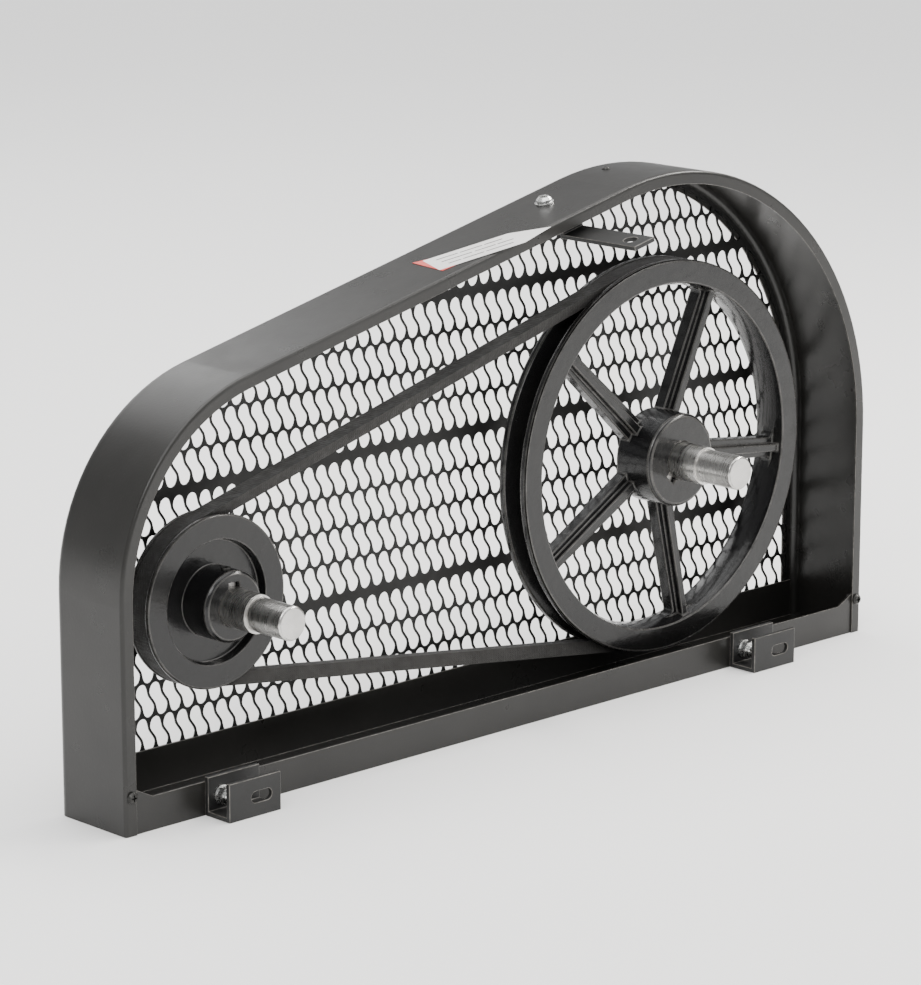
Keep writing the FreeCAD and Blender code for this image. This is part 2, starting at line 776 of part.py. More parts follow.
def slot_rows():
    """Heights of the slot rows: four rows to a band, counted down from the top band."""
    lobe, band, rows = value("slot_lobe"), value("band_height"), int(value("band_rows"))
    period = 2 * lobe * rows + band
    for block in range(-1, 3):
        top = value("band_top") - band - block * period
        for row in range(rows):
            yield top - lobe * (2 * row + 1)


def guard_mesh():
    """Perforated sheet behind the far flange, with rows of leaning slots between plain bands."""
    frames = {}
    edge = "far_bend + mesh_edge_gap"
    for name, inset, bottom in (("mesh_outline", edge, "-guard_bottom + mesh_foot"),
                                ("mesh_field", f"{edge} + mesh_margin", "-guard_bottom + mesh_solid_foot")):
        sketch = doc.addObject("Sketcher::SketchObject", name)
        outline(sketch, inset, bottom)
        place(sketch, "0", "guard_far - sheet - mesh_sheet", "0", axis=(1, 0, 0), angle="90")
        frames[name] = sketch
    doc.recompute()
    field = Part.Face(Part.Wire(Part.__sortEdges__(frames["mesh_field"].Shape.Edges)))
    rim = Part.Wire(Part.__sortEdges__(frames["mesh_outline"].Shape.Edges))
    pitch = value("slot_pitch")
    slots = []
    for z in slot_rows():
        for column in range(-60, 40):
            slot = slot_wire(column * pitch, z)
            if all(field.isInside(vertex.Point, 0.01, True) for vertex in slot.Vertexes):
                slots.append(slot)
    face = Part.makeFace([rim] + slots, "Part::FaceMakerBullseye")
    mesh = doc.addObject("Part::Feature", "guard_mesh")
    mesh.Shape = face.extrude(Vector(0, value("mesh_sheet"), 0))
    print("mesh slots", len(slots))
    node(mesh, "guard_mesh")


LEFT_WALL = "(sheet + channel_gap - guard_left)"
RIGHT_WALL = "(guard_arc_radius - guard_arc_x - sheet - channel_gap)"
NEAR_FACE = "(sheet - guard_near)"
FAR_FACE = "(guard_far - sheet - mesh_sheet)"
HOLE_SIDES = ("base_screw_x - guard_left", "guard_arc_radius - guard_arc_x - base_screw_x")


def base_channel():
    """Folded U strip across the bottom, with an ear up each near corner."""
    body = doc.addObject("PartDesign::Body", "base_channel")
    section = sketch_on(body, "YZ_Plane", "channel_section", f"({LEFT_WALL} + {RIGHT_WALL}) / 2")
    floor = "-guard_bottom"
    polygon(section, (
        (NEAR_FACE, floor),
        (FAR_FACE, floor),
        (FAR_FACE, f"{floor} + channel_far_height"),
        (f"{FAR_FACE} - channel_sheet", f"{floor} + channel_far_height"),
        (f"{FAR_FACE} - channel_sheet", f"{floor} + channel_sheet"),
        (f"{NEAR_FACE} + channel_sheet", f"{floor} + channel_sheet"),
        (f"{NEAR_FACE} + channel_sheet", f"{floor} + channel_near_height"),
        (NEAR_FACE, f"{floor} + channel_near_height"),
    ))
    prism(body, "channel_strip", section, f"{RIGHT_WALL} - {LEFT_WALL}")
    ears = sketch_on(body, "XZ_Plane", "channel_ears", f"-({NEAR_FACE} + channel_sheet / 2)")
    rise = f"{floor} + channel_near_height"
    for wall, sign in ((LEFT_WALL, "+"), (RIGHT_WALL, "-")):
        polygon(ears, (
            (wall, f"{rise} - 2"),
            (wall, f"{rise} + ear_rise"),
            (f"{wall} {sign} ear_top", f"{rise} + ear_rise"),
            (f"{wall} {sign} ear_foot", rise),
            (f"{wall} {sign} ear_foot", f"{rise} - 2"),
        ))
    prism(body, "channel_ear_pads", ears, "channel_sheet")
    holes = sketch_on(body, "XZ_Plane", "channel_holes", "guard_near")
    for x in HOLE_SIDES:
        circle(holes, x, "-base_screw_z", "base_hole_radius")
    for x in ("-foot_left_x", "foot_right_x"):
        circle(holes, f"{x} - foot_bolt_shift", "-foot_bolt_z", "foot_bolt_radius + small_gap")
    prism(body, "channel_pocket", holes, "20", "PartDesign::Pocket")
    corners = sketch_on(body, "XY_Plane", "channel_corners", floor)
    faces = ((NEAR_FACE, "+", "-", "near_notch"), (FAR_FACE, "-", "+", "far_bend"))
    for wall, inward, beside in ((LEFT_WALL, "+", "-"), (RIGHT_WALL, "-", "+")):
        for face, back, beyond, leg in faces:
            polygon(corners, (
                (f"{wall} {beside} 1", f"{face} {beyond} 1"),
                (f"{wall} {inward} ({leg} + 1)", f"{face} {beyond} 1"),
                (f"{wall} {beside} 1", f"{face} {back} ({leg} + 1)"),
            ))
    prism(body, "channel_corner_cuts", corners, "2 * guard_bottom", "PartDesign::Pocket")
    place(body)
    node(body, "base_channel")


def pan_screw_y(name, x, z, face, head_radius, head_height, shank_radius, length):
    """A pan-head screw pointing along +Y, its head's underside at y=face."""
    dome = part("Part::Cone", f"{name}_dome", Radius1=f"{head_radius} * 0.72", Radius2=head_radius,
                Height=f"{head_height} * 0.5")
    place(dome, x, f"{face} - {head_height}", z, axis=(1, 0, 0), angle="-90")
    rim = bar_y(f"{name}_rim", head_radius, f"{face} - {head_height} * 0.5", face, x, z)
    shank = bar_y(f"{name}_shank", shank_radius, face, f"{face} + {length}", x, z)
    solid = joined(f"{name}_solid", dome, rim, shank)
    slots = [
        box(f"{name}_slot_x", f"{x} - {head_radius} * 0.55", f"{face} - {head_height}", f"{z} - 0.5",
            f"{head_radius} * 1.1", f"{head_height} * 0.55", "1"),
        box(f"{name}_slot_z", f"{x} - 0.5", f"{face} - {head_height}", f"{z} - {head_radius} * 0.55",
            "1", f"{head_height} * 0.55", f"{head_radius} * 1.1"),
    ]
    return cut(f"{name}_screw", solid, joined(f"{name}_cross", *slots))


def base_screws():
    """The two screws that hold the band's near lip to the channel's ears."""
    screws = [pan_screw_y(f"base_{side}", x, "-base_screw_z", "-guard_near", "base_head_radius",
                         "base_head_height", "base_shank_radius", "base_shank_length")
              for side, x in zip(("left", "right"), HOLE_SIDES)]
    group = doc.addObject("Part::Compound", "base_screws")
    group.Links = screws
    node(group, "base_screws")


def rim_rivet():
    """A small dome rivet through the band, near the top of the big arc."""
    head = part("Part::Sphere", "rivet_ball", Radius="3.2")
    trim = part("Part::Box", "rivet_trim", Length="10", Width="10", Height="10")
    place(trim, "-5", "-5", "-8.6")
    dome = cut("rim_rivet", head, trim)
    x, z = polar("-guard_arc_x", "0", "(guard_arc_radius - 1.4)", "(90 + rivet_lean)")
    place(dome, x, "rivet_y", z, axis=(0, 1, 0), angle="-rivet_lean")
    node(dome, "rim_rivet")


def on_slant(item, along, across, height):
    """Stand a piece on the slanted top: along the slope, across the band, and above its outside."""
    reach = f"({along})"
    rise = f"(guard_corner_radius + {height})"
    start_x, start_z = polar(CORNER_X, CORNER_Z, rise, "(90 + guard_slope)")
    place(item, f"{start_x} + {reach} * cos(guard_slope)", across, f"{start_z} + {reach} * sin(guard_slope)",
          axis=(0, 1, 0), angle="-guard_slope")


def along_slant(x):
    """Distance up the slanted top, from its low end, to where its outside passes over x=-x."""
    start = f"({CORNER_X} - guard_corner_radius * sin(guard_slope))"
    return f"((-({x}) - {start}) / cos(guard_slope))"


BRACKET_ALONG = along_slant("bracket_x")


def top_bracket():
    """Stay strap: a pad under the slanted top, a step down, and an arm towards the pump."""
    body = doc.addObject("PartDesign::Body", "top_bracket")
    side = sketch_on(body, "YZ_Plane", "bracket_side")
    under = "(-sheet)"
    low = "(-sheet - bracket_step)"
    polygon(side, (
        ("bracket_pad", under),
        ("bracket_pad", f"{under} - bracket_sheet"),
        ("-bracket_step_y + bracket_sheet", f"{under} - bracket_sheet"),
        ("-bracket_step_y + bracket_sheet", f"{low} - bracket_sheet"),
        ("-bracket_reach", f"{low} - bracket_sheet"),
        ("-bracket_reach", low),
        ("-bracket_step_y", low),
        ("-bracket_step_y", under),
    ))
    prism(body, "bracket_strap", side, "bracket_width")
    holes = sketch_on(body, "XY_Plane", "bracket_holes")
    circle(holes, "0", "0", "top_screw_radius + small_gap")
    circle(holes, "0", "-bracket_reach + bracket_end_inset", "bracket_end_hole")
    prism(body, "bracket_pocket", holes, "100", "PartDesign::Pocket")
    on_slant(body, BRACKET_ALONG, "-bracket_screw_y", "0")
    node(body, "top_bracket")


def top_fastening():
    """Bright screw, washer and nut that hold the stay strap under the slanted top."""
    disc = part("Part::Cylinder", "top_washer_disc", Radius="top_washer_radius",
                Height="top_washer_thickness")
    hole = part("Part::Cylinder", "top_washer_hole", Radius="top_screw_radius + small_gap", Height="5")
    place(hole, "0", "0", "-1")
    washer = cut("top_washer", disc, hole)

    rim = part("Part::Cylinder", "top_screw_rim", Radius="top_head_radius", Height="top_head_rim")
    dome = part("Part::Cone", "top_screw_dome", Radius1="top_head_radius", Radius2="top_dome_radius",
                Height="top_head_dome")
    place(dome, "0", "0", "top_head_rim")
    shank = part("Part::Cylinder", "top_screw_shank", Radius="top_screw_radius", Height="top_screw_length")
    place(shank, "0", "0", "-top_screw_length")
    solid = joined("top_screw_solid", rim, dome, shank)
    slots = [part("Part::Box", f"top_screw_slot_{way}", Length=long, Width=wide, Height="3")
             for way, long, wide in (("x", "6", "1.2"), ("y", "1.2", "6"))]
    place(slots[0], "-3", "-0.6", "1.9")
    place(slots[1], "-0.6", "-3", "1.9")
    screw = cut("top_screw", solid, joined("top_screw_cross", *slots))

    hexagon = part("Part::Prism", "top_nut_hex", Circumradius="nut_flats / 2 / cos(30)",
                   Height="nut_height")
    hexagon.Polygon = 6
    bore = part("Part::Cylinder", "top_nut_bore", Radius="top_screw_radius + 0.05", Height="9")
    place(bore, "0", "0", "-2")
    nut = cut("top_nut", hexagon, bore)

    for item, height in ((washer, "0"), (screw, "top_washer_thickness"),
                         (nut, "-sheet - bracket_sheet - nut_height")):
        on_slant(item, BRACKET_ALONG, "-bracket_screw_y", height)
        node(item, item.Name)


def direction_label():
    """Arrow-shaped label stuck on the slanted top, pointing at the pump end."""
    body = doc.addObject("PartDesign::Body", "direction_label")
    sketch = sketch_on(body, "XY_Plane", "label_sketch")
    neck = "label_length - label_head"
    polygon(sketch, (
        ("0", "-label_half_width"),
        (neck, "-label_half_width"),
        (f"{neck} - label_sweep", "-label_barb"),
        ("label_length", "0"),
        (f"{neck} - label_sweep", "label_barb"),
        (neck, "label_half_width"),
        ("0", "label_half_width"),
    ))
    pad = feature(body, "PartDesign::Pad", "label_pad", sketch)
    bind(pad, Length="label_thickness")
    sketch.AttachmentOffset = Placement(Vector(0, 0, 0), Rotation(Vector(0, 0, 1), -value("label_skew")))
    sketch.setExpression("AttachmentOffset.Rotation.Angle", formula("-label_skew * 1deg"))
    on_slant(body, f"{along_slant('label_x')} - label_length / 2", "-label_y", "0.02")
    node(body, "direction_label")


def feet():
    """Two U brackets that carry the guard from the machine, with a slot in each outer leg."""
    near = NEAR_FACE
    floor = "-guard_bottom"
    for label, x in (("left_foot", "-foot_left_x"), ("right_foot", "foot_right_x")):
        body = doc.addObject("PartDesign::Body", label)
        section = sketch_on(body, "YZ_Plane", f"{label}_section", x)
        polygon(section, (
            (near, floor),
            (near, f"{floor} + foot_height"),
            (f"{near} - foot_sheet", f"{floor} + foot_height"),
            (f"{near} - foot_sheet", f"{floor} + foot_sheet"),
            (f"{near} - foot_reach + foot_sheet", f"{floor} + foot_sheet"),
            (f"{near} - foot_reach + foot_sheet", f"{floor} + foot_height"),
            (f"{near} - foot_reach", f"{floor} + foot_height"),
            (f"{near} - foot_reach", floor),
        ))
        prism(body, f"{label}_strip", section, "foot_width")
        hole = sketch_on(body, "XZ_Plane", f"{label}_hole", f"-({near}) + foot_sheet / 2")
        circle(hole, f"{x} - foot_bolt_shift", "-foot_bolt_z", "foot_bolt_radius + small_gap")
        prism(body, f"{label}_pocket", hole, "foot_sheet * 2", "PartDesign::Pocket")
        slot = sketch_on(body, "XZ_Plane", f"{label}_slot", f"-({near}) + foot_reach - foot_sheet / 2")
        left = f"({x} + foot_slot_shift - foot_slot_length / 2 + foot_slot_radius)"
        right = f"({x} + foot_slot_shift + foot_slot_length / 2 - foot_slot_radius)"
        for end in (left, right):
            circle(slot, end, "-foot_bolt_z", "foot_slot_radius")
        prism(body, f"{label}_slot_ends", slot, "foot_sheet * 2", "PartDesign::Pocket")
        middle = sketch_on(body, "XZ_Plane", f"{label}_slot_box", f"-({near}) + foot_reach - foot_sheet / 2")
        polygon(middle, (
            (left, "-foot_bolt_z - foot_slot_radius"),
            (right, "-foot_bolt_z - foot_slot_radius"),
            (right, "-foot_bolt_z + foot_slot_radius"),
            (left, "-foot_bolt_z + foot_slot_radius"),
        ))
        prism(body, f"{label}_slot_middle", middle, "foot_sheet * 2", "PartDesign::Pocket")
        place(body)
        node(body, label)


def foot_fastenings():
    """Bolt, washer and nut at each foot: head inside the guard, nut inside the foot."""
    bolts, washers, nuts = [], [], []
    inside = f"({NEAR_FACE} + channel_sheet)"
    outside = f"({NEAR_FACE} - foot_sheet)"
    tail = f"{outside} - foot_bolt_tail"
    for side, x in (("left", "-foot_left_x - foot_bolt_shift"), ("right", "foot_right_x - foot_bolt_shift")):
        z = "-foot_bolt_z"
        head = hexagon_y(f"foot_{side}_head", "nut_flats", inside, f"{inside} + foot_head_height", x, z)
        middle = f"{inside} + foot_head_height / 2"
        shank = bar_y(f"foot_{side}_shank", "foot_bolt_radius", tail, middle, x, z)
        bolts.append(joined(f"foot_{side}_bolt", head, shank))
        seat = f"{outside} - foot_washer_thickness"
        disc = bar_y(f"foot_{side}_disc", "foot_washer_radius", seat, outside, x, z)
        hole = bar_y(f"foot_{side}_disc_hole", "foot_bolt_radius + small_gap", tail, inside, x, z)
        washers.append(cut(f"foot_{side}_washer", disc, hole))
        prism_nut = hexagon_y(f"foot_{side}_nut_hex", "nut_flats", f"{seat} - nut_height", seat, x, z)
        bore = bar_y(f"foot_{side}_nut_bore", "foot_bolt_radius + 0.05", tail, outside, x, z)
        nuts.append(cut(f"foot_{side}_nut", prism_nut, bore))
    for label, pieces in (("foot_bolts", bolts), ("foot_washers", washers), ("foot_nuts", nuts)):
        group = doc.addObject("Part::Compound", label)
        group.Links = pieces
        node(group, label)


# ---------------------------------------------------------------- build, check and write

belt()
flywheel()
motor_pulley()
retained("crank", "crank_nose", "crank_radius", "crank_bolt_radius", "crank_bolt_head", "crank_bolt_flats",
         "0", "0", "-fly_spoke_angle")
retained("motor", "motor_shaft", "motor_shaft_radius", "motor_bolt_radius", "motor_bolt_head",
         "motor_bolt_flats", "-centre_dx", "-centre_drop")
grub_screw()
guard_rim()
guard_mesh()
base_channel()
base_screws()
rim_rivet()
top_bracket()
top_fastening()
direction_label()
feet()
foot_fastenings()
doc.recompute()

faults = [f"{item.Label}: {item.State}" for item in doc.Objects
          if "Invalid" in item.State or "Error" in item.State]
for item in NODES:
    if item.Shape.isNull() or not item.Shape.isValid() or item.Shape.Volume <= 0:
        faults.append(f"{item.Label}: bad shape")
if faults:
    raise RuntimeError("; ".join(faults))

for item in NODES:
    item.Shape.exportStep(f"parts/{item.Label}.step")
    extent = item.Shape.optimalBoundingBox()
    print(f"{item.Label:22s} solids {len(item.Shape.Solids)} volume {item.Shape.Volume:12.1f} "
          f"x {extent.XMin:7.1f} {extent.XMax:7.1f} y {extent.YMin:6.1f} {extent.YMax:6.1f} "
          f"z {extent.ZMin:7.1f} {extent.ZMax:7.1f}")
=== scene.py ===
"""Looks of the v belt drive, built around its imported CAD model. Lengths are metres in the model's own frame."""

import json
import math

import bmesh
import bpy
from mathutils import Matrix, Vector
from mathutils.geometry import delaunay_2d_cdt, normal


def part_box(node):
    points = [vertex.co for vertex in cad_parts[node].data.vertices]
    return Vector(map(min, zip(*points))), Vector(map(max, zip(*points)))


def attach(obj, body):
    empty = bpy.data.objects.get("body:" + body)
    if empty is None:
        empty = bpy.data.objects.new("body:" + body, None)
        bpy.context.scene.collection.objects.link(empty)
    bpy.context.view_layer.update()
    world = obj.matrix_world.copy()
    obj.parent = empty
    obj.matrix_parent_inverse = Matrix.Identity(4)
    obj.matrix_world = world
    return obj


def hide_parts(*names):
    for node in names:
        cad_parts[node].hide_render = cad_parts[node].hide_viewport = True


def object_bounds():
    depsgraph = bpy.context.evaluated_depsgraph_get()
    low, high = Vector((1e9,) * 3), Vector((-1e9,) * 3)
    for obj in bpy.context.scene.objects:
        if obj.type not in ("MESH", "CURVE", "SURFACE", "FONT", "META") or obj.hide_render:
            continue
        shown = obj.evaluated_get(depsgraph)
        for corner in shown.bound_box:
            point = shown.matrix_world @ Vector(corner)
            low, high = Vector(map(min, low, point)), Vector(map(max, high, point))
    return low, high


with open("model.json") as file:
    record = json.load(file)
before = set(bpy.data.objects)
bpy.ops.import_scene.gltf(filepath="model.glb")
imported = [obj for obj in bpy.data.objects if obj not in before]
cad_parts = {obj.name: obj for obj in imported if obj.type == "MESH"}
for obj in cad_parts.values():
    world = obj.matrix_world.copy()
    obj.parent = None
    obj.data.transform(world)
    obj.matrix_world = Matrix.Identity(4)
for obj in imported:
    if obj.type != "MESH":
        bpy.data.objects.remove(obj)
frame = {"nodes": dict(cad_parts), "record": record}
CAD_BOX = [list(corner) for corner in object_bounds()]
NODES = frame["nodes"]
MM = 0.001


# ---------------------------------------------------------------- materials

class Finish:
    """A node material whose texture sits in the object's own coordinates."""

    def __init__(self, name, **constants):
        self.material = bpy.data.materials.new(name)
        self.material.use_nodes = True
        self.tree = self.material.node_tree
        self.shader = self.tree.nodes["Principled BSDF"]
        for socket, amount in constants.items():
            self.shader.inputs[socket.replace("_", " ")].default_value = amount
        self.height = None

    def add(self, kind, inputs=(), **settings):
        """One node, with its settings and its inputs as links or numbers."""
        made = self.tree.nodes.new(kind)
        for key, amount in settings.items():
            setattr(made, key, amount)
        for key, source in dict(inputs).items():
            if isinstance(source, bpy.types.NodeSocket):
                self.tree.links.new(source, made.inputs[key])
            else:
                made.inputs[key].default_value = source
        return made

    def place(self, stretch=(1, 1, 1), turn=(0, 0, 0)):
        """Object coordinates, turned and stretched."""
        coordinates = self.add("ShaderNodeTexCoord").outputs["Object"]
        return self.add("ShaderNodeMapping", {"Vector": coordinates, "Scale": stretch,
                                              "Rotation": turn}).outputs["Vector"]

    def noise(self, size, detail=3.0, rough=0.55, stretch=(1, 1, 1), turn=(0, 0, 0)):
        """Cloudy noise whose blobs are about size metres across."""
        return self.add("ShaderNodeTexNoise", {"Vector": self.place(stretch, turn), "Scale": 1 / size,
                                               "Detail": detail, "Roughness": rough}).outputs["Fac"]

    def bands(self, size, turn=(0, 0, 0), along="X", warp=0.0):
        """Even ridges, size metres apart, across one axis."""
        return self.add("ShaderNodeTexWave", {"Vector": self.place(turn=turn), "Scale": 0.314159 / size,
                                              "Distortion": warp, "Detail": 1.0, "Detail Scale": 1.0},
                        bands_direction=along).outputs["Fac"]

    def math(self, operation, first, second=0.0):
        """One arithmetic step on two values."""
        return self.add("ShaderNodeMath", {0: first, 1: second}, operation=operation).outputs["Value"]

    def ramp(self, fac, stops):
        """Colours along a value, as (place, colour) stops."""
        made = self.add("ShaderNodeValToRGB", {"Fac": fac})
        band = made.color_ramp
        while len(band.elements) < len(stops):
            band.elements.new(0.5)
        for element, (spot, colour) in zip(band.elements, stops):
            element.position = spot
            element.color = (*colour, 1.0)
        return made.outputs["Color"]

    def mix(self, fac, first, second):
        """Two colours mixed by a value."""
        made = self.add("ShaderNodeMix", data_type="RGBA")
        for index, source in ((0, fac), (6, first), (7, second)):
            if isinstance(source, bpy.types.NodeSocket):
                self.tree.links.new(source, made.inputs[index])
            elif index:
                made.inputs[index].default_value = (*source, 1.0)
            else:
                made.inputs[index].default_value = source
        return made.outputs[2]

    def colour(self, source):
        self.tree.links.new(source, self.shader.inputs["Base Color"])

    def roughness(self, fac, low, high, start=0.3, stop=0.7):
        """Roughness that follows a value from low to high."""
        spread = self.add("ShaderNodeMapRange", {"Value": fac, "From Min": start, "From Max": stop,
                                                 "To Min": low, "To Max": high})
        self.tree.links.new(spread.outputs["Result"], self.shader.inputs["Roughness"])

    def bump(self, height, depth, strength=1.0):
        """Relief of depth metres, stacked on what is there."""
        inputs = {"Height": height, "Distance": depth, "Strength": strength}
        if self.height is not None:
            inputs["Normal"] = self.height
        self.height = self.add("ShaderNodeBump", inputs).outputs["Normal"]
        self.tree.links.new(self.height, self.shader.inputs["Normal"])


def sheet_paint(name, dark, light, low, high, peel, grain=0.0016, shine=0.3):
    """Stoved paint on sheet metal: fine orange peel, faint clouding and a little dust."""
    made = Finish(name, IOR=1.5, Specular_IOR_Level=shine)
    cloud = made.noise(0.07, 4.0)
    speck = made.noise(0.0022, 2.0, 0.7)
    base = made.ramp(cloud, ((0.3, dark), (0.7, light)))
    dust = made.ramp(speck, ((0.66, (0.0, 0.0, 0.0)), (0.74, (1.0, 1.0, 1.0))))
    faint = made.math("MULTIPLY", dust, 0.025)
    made.colour(made.mix(faint, base, (0.32, 0.3, 0.28)))
    made.roughness(made.noise(0.03, 3.0), low, high)
    made.bump(made.noise(grain, 2.0, 0.5), peel)
    return made.material


def edge_wear_and_highlight(name, colour, metallic, rough):
    """Where the paint is rubbed thin along an edge; on painted and cast bevels the lighter colour is a painted
    highlight line.
    """
    made = Finish(name, Metallic=metallic)
    patch = made.noise(0.006, 4.0, 0.65)
    dark = tuple(part * 0.35 for part in colour)
    made.colour(made.ramp(patch, ((0.38, dark), (0.62, colour))))
    made.roughness(patch, rough + 0.12, rough)
    made.bump(made.noise(0.001, 2.0), 0.00004)
    return made.material


def cast_paint():
    """Gloss black enamel over sand-cast iron."""
    made = Finish("cast_paint", IOR=1.5, Specular_IOR_Level=0.32, Coat_Weight=0.12, Coat_Roughness=0.05)
    cloud = made.noise(0.04, 4.0)
    made.colour(made.ramp(cloud, ((0.3, (0.0045, 0.0045, 0.005)), (0.7, (0.009, 0.0088, 0.0085)))))
    made.roughness(made.noise(0.012, 3.0), 0.16, 0.28)
    made.bump(made.noise(0.006, 3.0, 0.55), 0.00022)
    made.bump(made.noise(0.0014, 2.0, 0.5), 0.00003)
    return made.material


def zinc_plate(name, tint, low, high, grain=0.0007):
    """Bright zinc on a fastener."""
    made = Finish(name, Metallic=1.0)
    cloud = made.noise(0.004, 4.0)
    dull = tuple(part * 0.72 for part in tint)
    made.colour(made.ramp(cloud, ((0.3, dull), (0.6, tint))))
    made.roughness(made.noise(0.0016, 3.0), low, high)
    made.bump(made.noise(grain, 3.0, 0.6), 0.000012)
    return made.material


def turned_steel(name, tint, low, high):
    """Machined steel with fine turning marks round the Y axis."""
    made = Finish(name, Metallic=1.0)
    marks = made.noise(0.0007, 2.0, 0.5, stretch=(0.04, 1.0, 0.04))
    cloud = made.noise(0.012, 4.0)
    dull = tuple(part * 0.82 for part in tint)
    made.colour(made.ramp(cloud, ((0.3, dull), (0.65, tint))))
    made.roughness(marks, low, high)
    made.bump(marks, 0.000006)
    return made.material


def belt_fabric():
    """Rubbered cloth wrapped round the belt, its threads on the bias."""
    made = Finish("belt_fabric", IOR=1.45, Specular_IOR_Level=0.35, Sheen_Weight=0.08, Sheen_Roughness=0.4)
    quarter = math.radians(45)
    along = made.bands(0.0011, turn=(0, quarter, 0))
    across = made.bands(0.0011, turn=(0, -quarter, 0))
    level = made.bands(0.0011, turn=(0, 0, quarter))
    weave = made.math("MAXIMUM", along, made.math("MAXIMUM", across, level))
    cloud = made.noise(0.018, 4.0)
    base = made.ramp(cloud, ((0.3, (0.009, 0.0087, 0.0083)), (0.7, (0.019, 0.0183, 0.0172))))
    lift = made.math("MULTIPLY", weave, 0.35)
    made.colour(made.mix(lift, base, (0.045, 0.042, 0.039)))
    made.roughness(made.noise(0.006, 3.0), 0.55, 0.82)
    made.bump(weave, 0.00022)
    made.bump(made.noise(0.0022, 3.0), 0.00025)
    return made.material


def rubber(name, dark, light):
    """Moulded rubber."""
    made = Finish(name, IOR=1.5)
    made.colour(made.ramp(made.noise(0.01, 4.0), ((0.3, dark), (0.7, light))))
    made.roughness(made.noise(0.004, 3.0), 0.6, 0.85)
    made.bump(made.noise(0.0008, 3.0), 0.00008)
    return made.material


def cord_fibre():
    """Twisted cords side by side inside the belt."""
    made = Finish("belt_cord", IOR=1.5, Sheen_Weight=0.2)
    strand = made.bands(0.0012, along="Y")
    made.colour(made.ramp(strand, ((0.2, (0.34, 0.25, 0.14)), (0.8, (0.66, 0.54, 0.36)))))
    made.roughness(strand, 0.85, 0.6)
    made.bump(strand, 0.0003)
    return made.material


def film(name, dark, light):
    """Printed vinyl film."""
    made = Finish(name, IOR=1.46, Coat_Weight=0.3, Coat_Roughness=0.2)
    made.colour(made.ramp(made.noise(0.02, 3.0), ((0.3, dark), (0.7, light))))
    made.roughness(made.noise(0.008, 2.0), 0.32, 0.46)
    made.bump(made.noise(0.003, 2.0), 0.00003)
    return made.material


SHEET = {
    "guard_paint": sheet_paint("guard_paint", (0.013, 0.0125, 0.0115), (0.019, 0.0183, 0.0168), 0.26, 0.36, 0.00004, shine=0.38),
    "mesh_paint": sheet_paint("mesh_paint", (0.006, 0.006, 0.0058), (0.01, 0.0097, 0.0093), 0.42, 0.56, 0.00004, shine=0.25),
    "bracket_paint": sheet_paint("bracket_paint", (0.012, 0.012, 0.012), (0.019, 0.019, 0.0185), 0.38, 0.5, 0.00005, shine=0.35),
}
MATERIALS = {
    **SHEET,
    "black_screw": edge_wear_and_highlight("black_screw", (0.05, 0.049, 0.046), 0.6, 0.32),
    "zinc": zinc_plate("zinc", (0.82, 0.83, 0.82), 0.16, 0.34),
    "label_film": film("label_film", (0.78, 0.76, 0.74), (0.86, 0.85, 0.84)),
    "belt_fabric": belt_fabric(),
    "belt_rubber": rubber("belt_rubber", (0.012, 0.012, 0.012), (0.022, 0.021, 0.02)),
    "belt_cord": cord_fibre(),
    "cast_paint": cast_paint(),
    "shaft_steel": turned_steel("shaft_steel", (0.58, 0.57, 0.55), 0.2, 0.38),
    "key_steel": turned_steel("key_steel", (0.36, 0.35, 0.34), 0.34, 0.5),
}
# the paint and cast edge colours are far lighter than their paint: a painted highlight line along the bevels
PAINT_EDGE_HIGHLIGHT = edge_wear_and_highlight("paint_edge_highlight", (0.16, 0.15, 0.135), 0.0, 0.3)
CAST_EDGE_HIGHLIGHT = edge_wear_and_highlight("cast_edge_highlight", (0.075, 0.072, 0.068), 0.2, 0.22)
STEEL_EDGE = edge_wear_and_highlight("steel_edge", (0.66, 0.65, 0.62), 1.0, 0.22)
LABEL_RED = film("label_red", (0.62, 0.07, 0.06), (0.72, 0.11, 0.09))
LABEL_LINE = film("label_line", (0.035, 0.034, 0.034), (0.06, 0.058, 0.056))


# ---------------------------------------------------------------- CAD nodes

SLOT_OF = {part["node"]: part["material_slot"] for part in frame["record"]["subparts"]}
# bevel width in mm and the finish of the bevel, for pieces whose edges are not knife sharp; on painted and cast
# pieces that finish is a painted highlight line
EDGES = {
    "flywheel": (0.9, CAST_EDGE_HIGHLIGHT),
    "motor_pulley": (0.6, CAST_EDGE_HIGHLIGHT),
    "base_channel": (0.25, PAINT_EDGE_HIGHLIGHT),
    "guard_rim": (0.25, PAINT_EDGE_HIGHLIGHT),
    "top_bracket": (0.35, PAINT_EDGE_HIGHLIGHT),
    "left_foot": (0.4, PAINT_EDGE_HIGHLIGHT),
    "right_foot": (0.4, PAINT_EDGE_HIGHLIGHT),
    "crank_washer": (0.25, STEEL_EDGE),
    "motor_washer": (0.25, STEEL_EDGE),
    "top_washer": (0.12, STEEL_EDGE),
    "foot_washers": (0.15, STEEL_EDGE),
    "crank_bolt": (0.2, STEEL_EDGE),
    "motor_bolt": (0.2, STEEL_EDGE),
    "top_screw": (0.15, STEEL_EDGE),
    "top_nut": (0.2, STEEL_EDGE),
    "foot_bolts": (0.2, STEEL_EDGE),
    "foot_nuts": (0.2, STEEL_EDGE),
    "crank_nose": (0.3, STEEL_EDGE),
    "motor_shaft": (0.3, STEEL_EDGE),
}


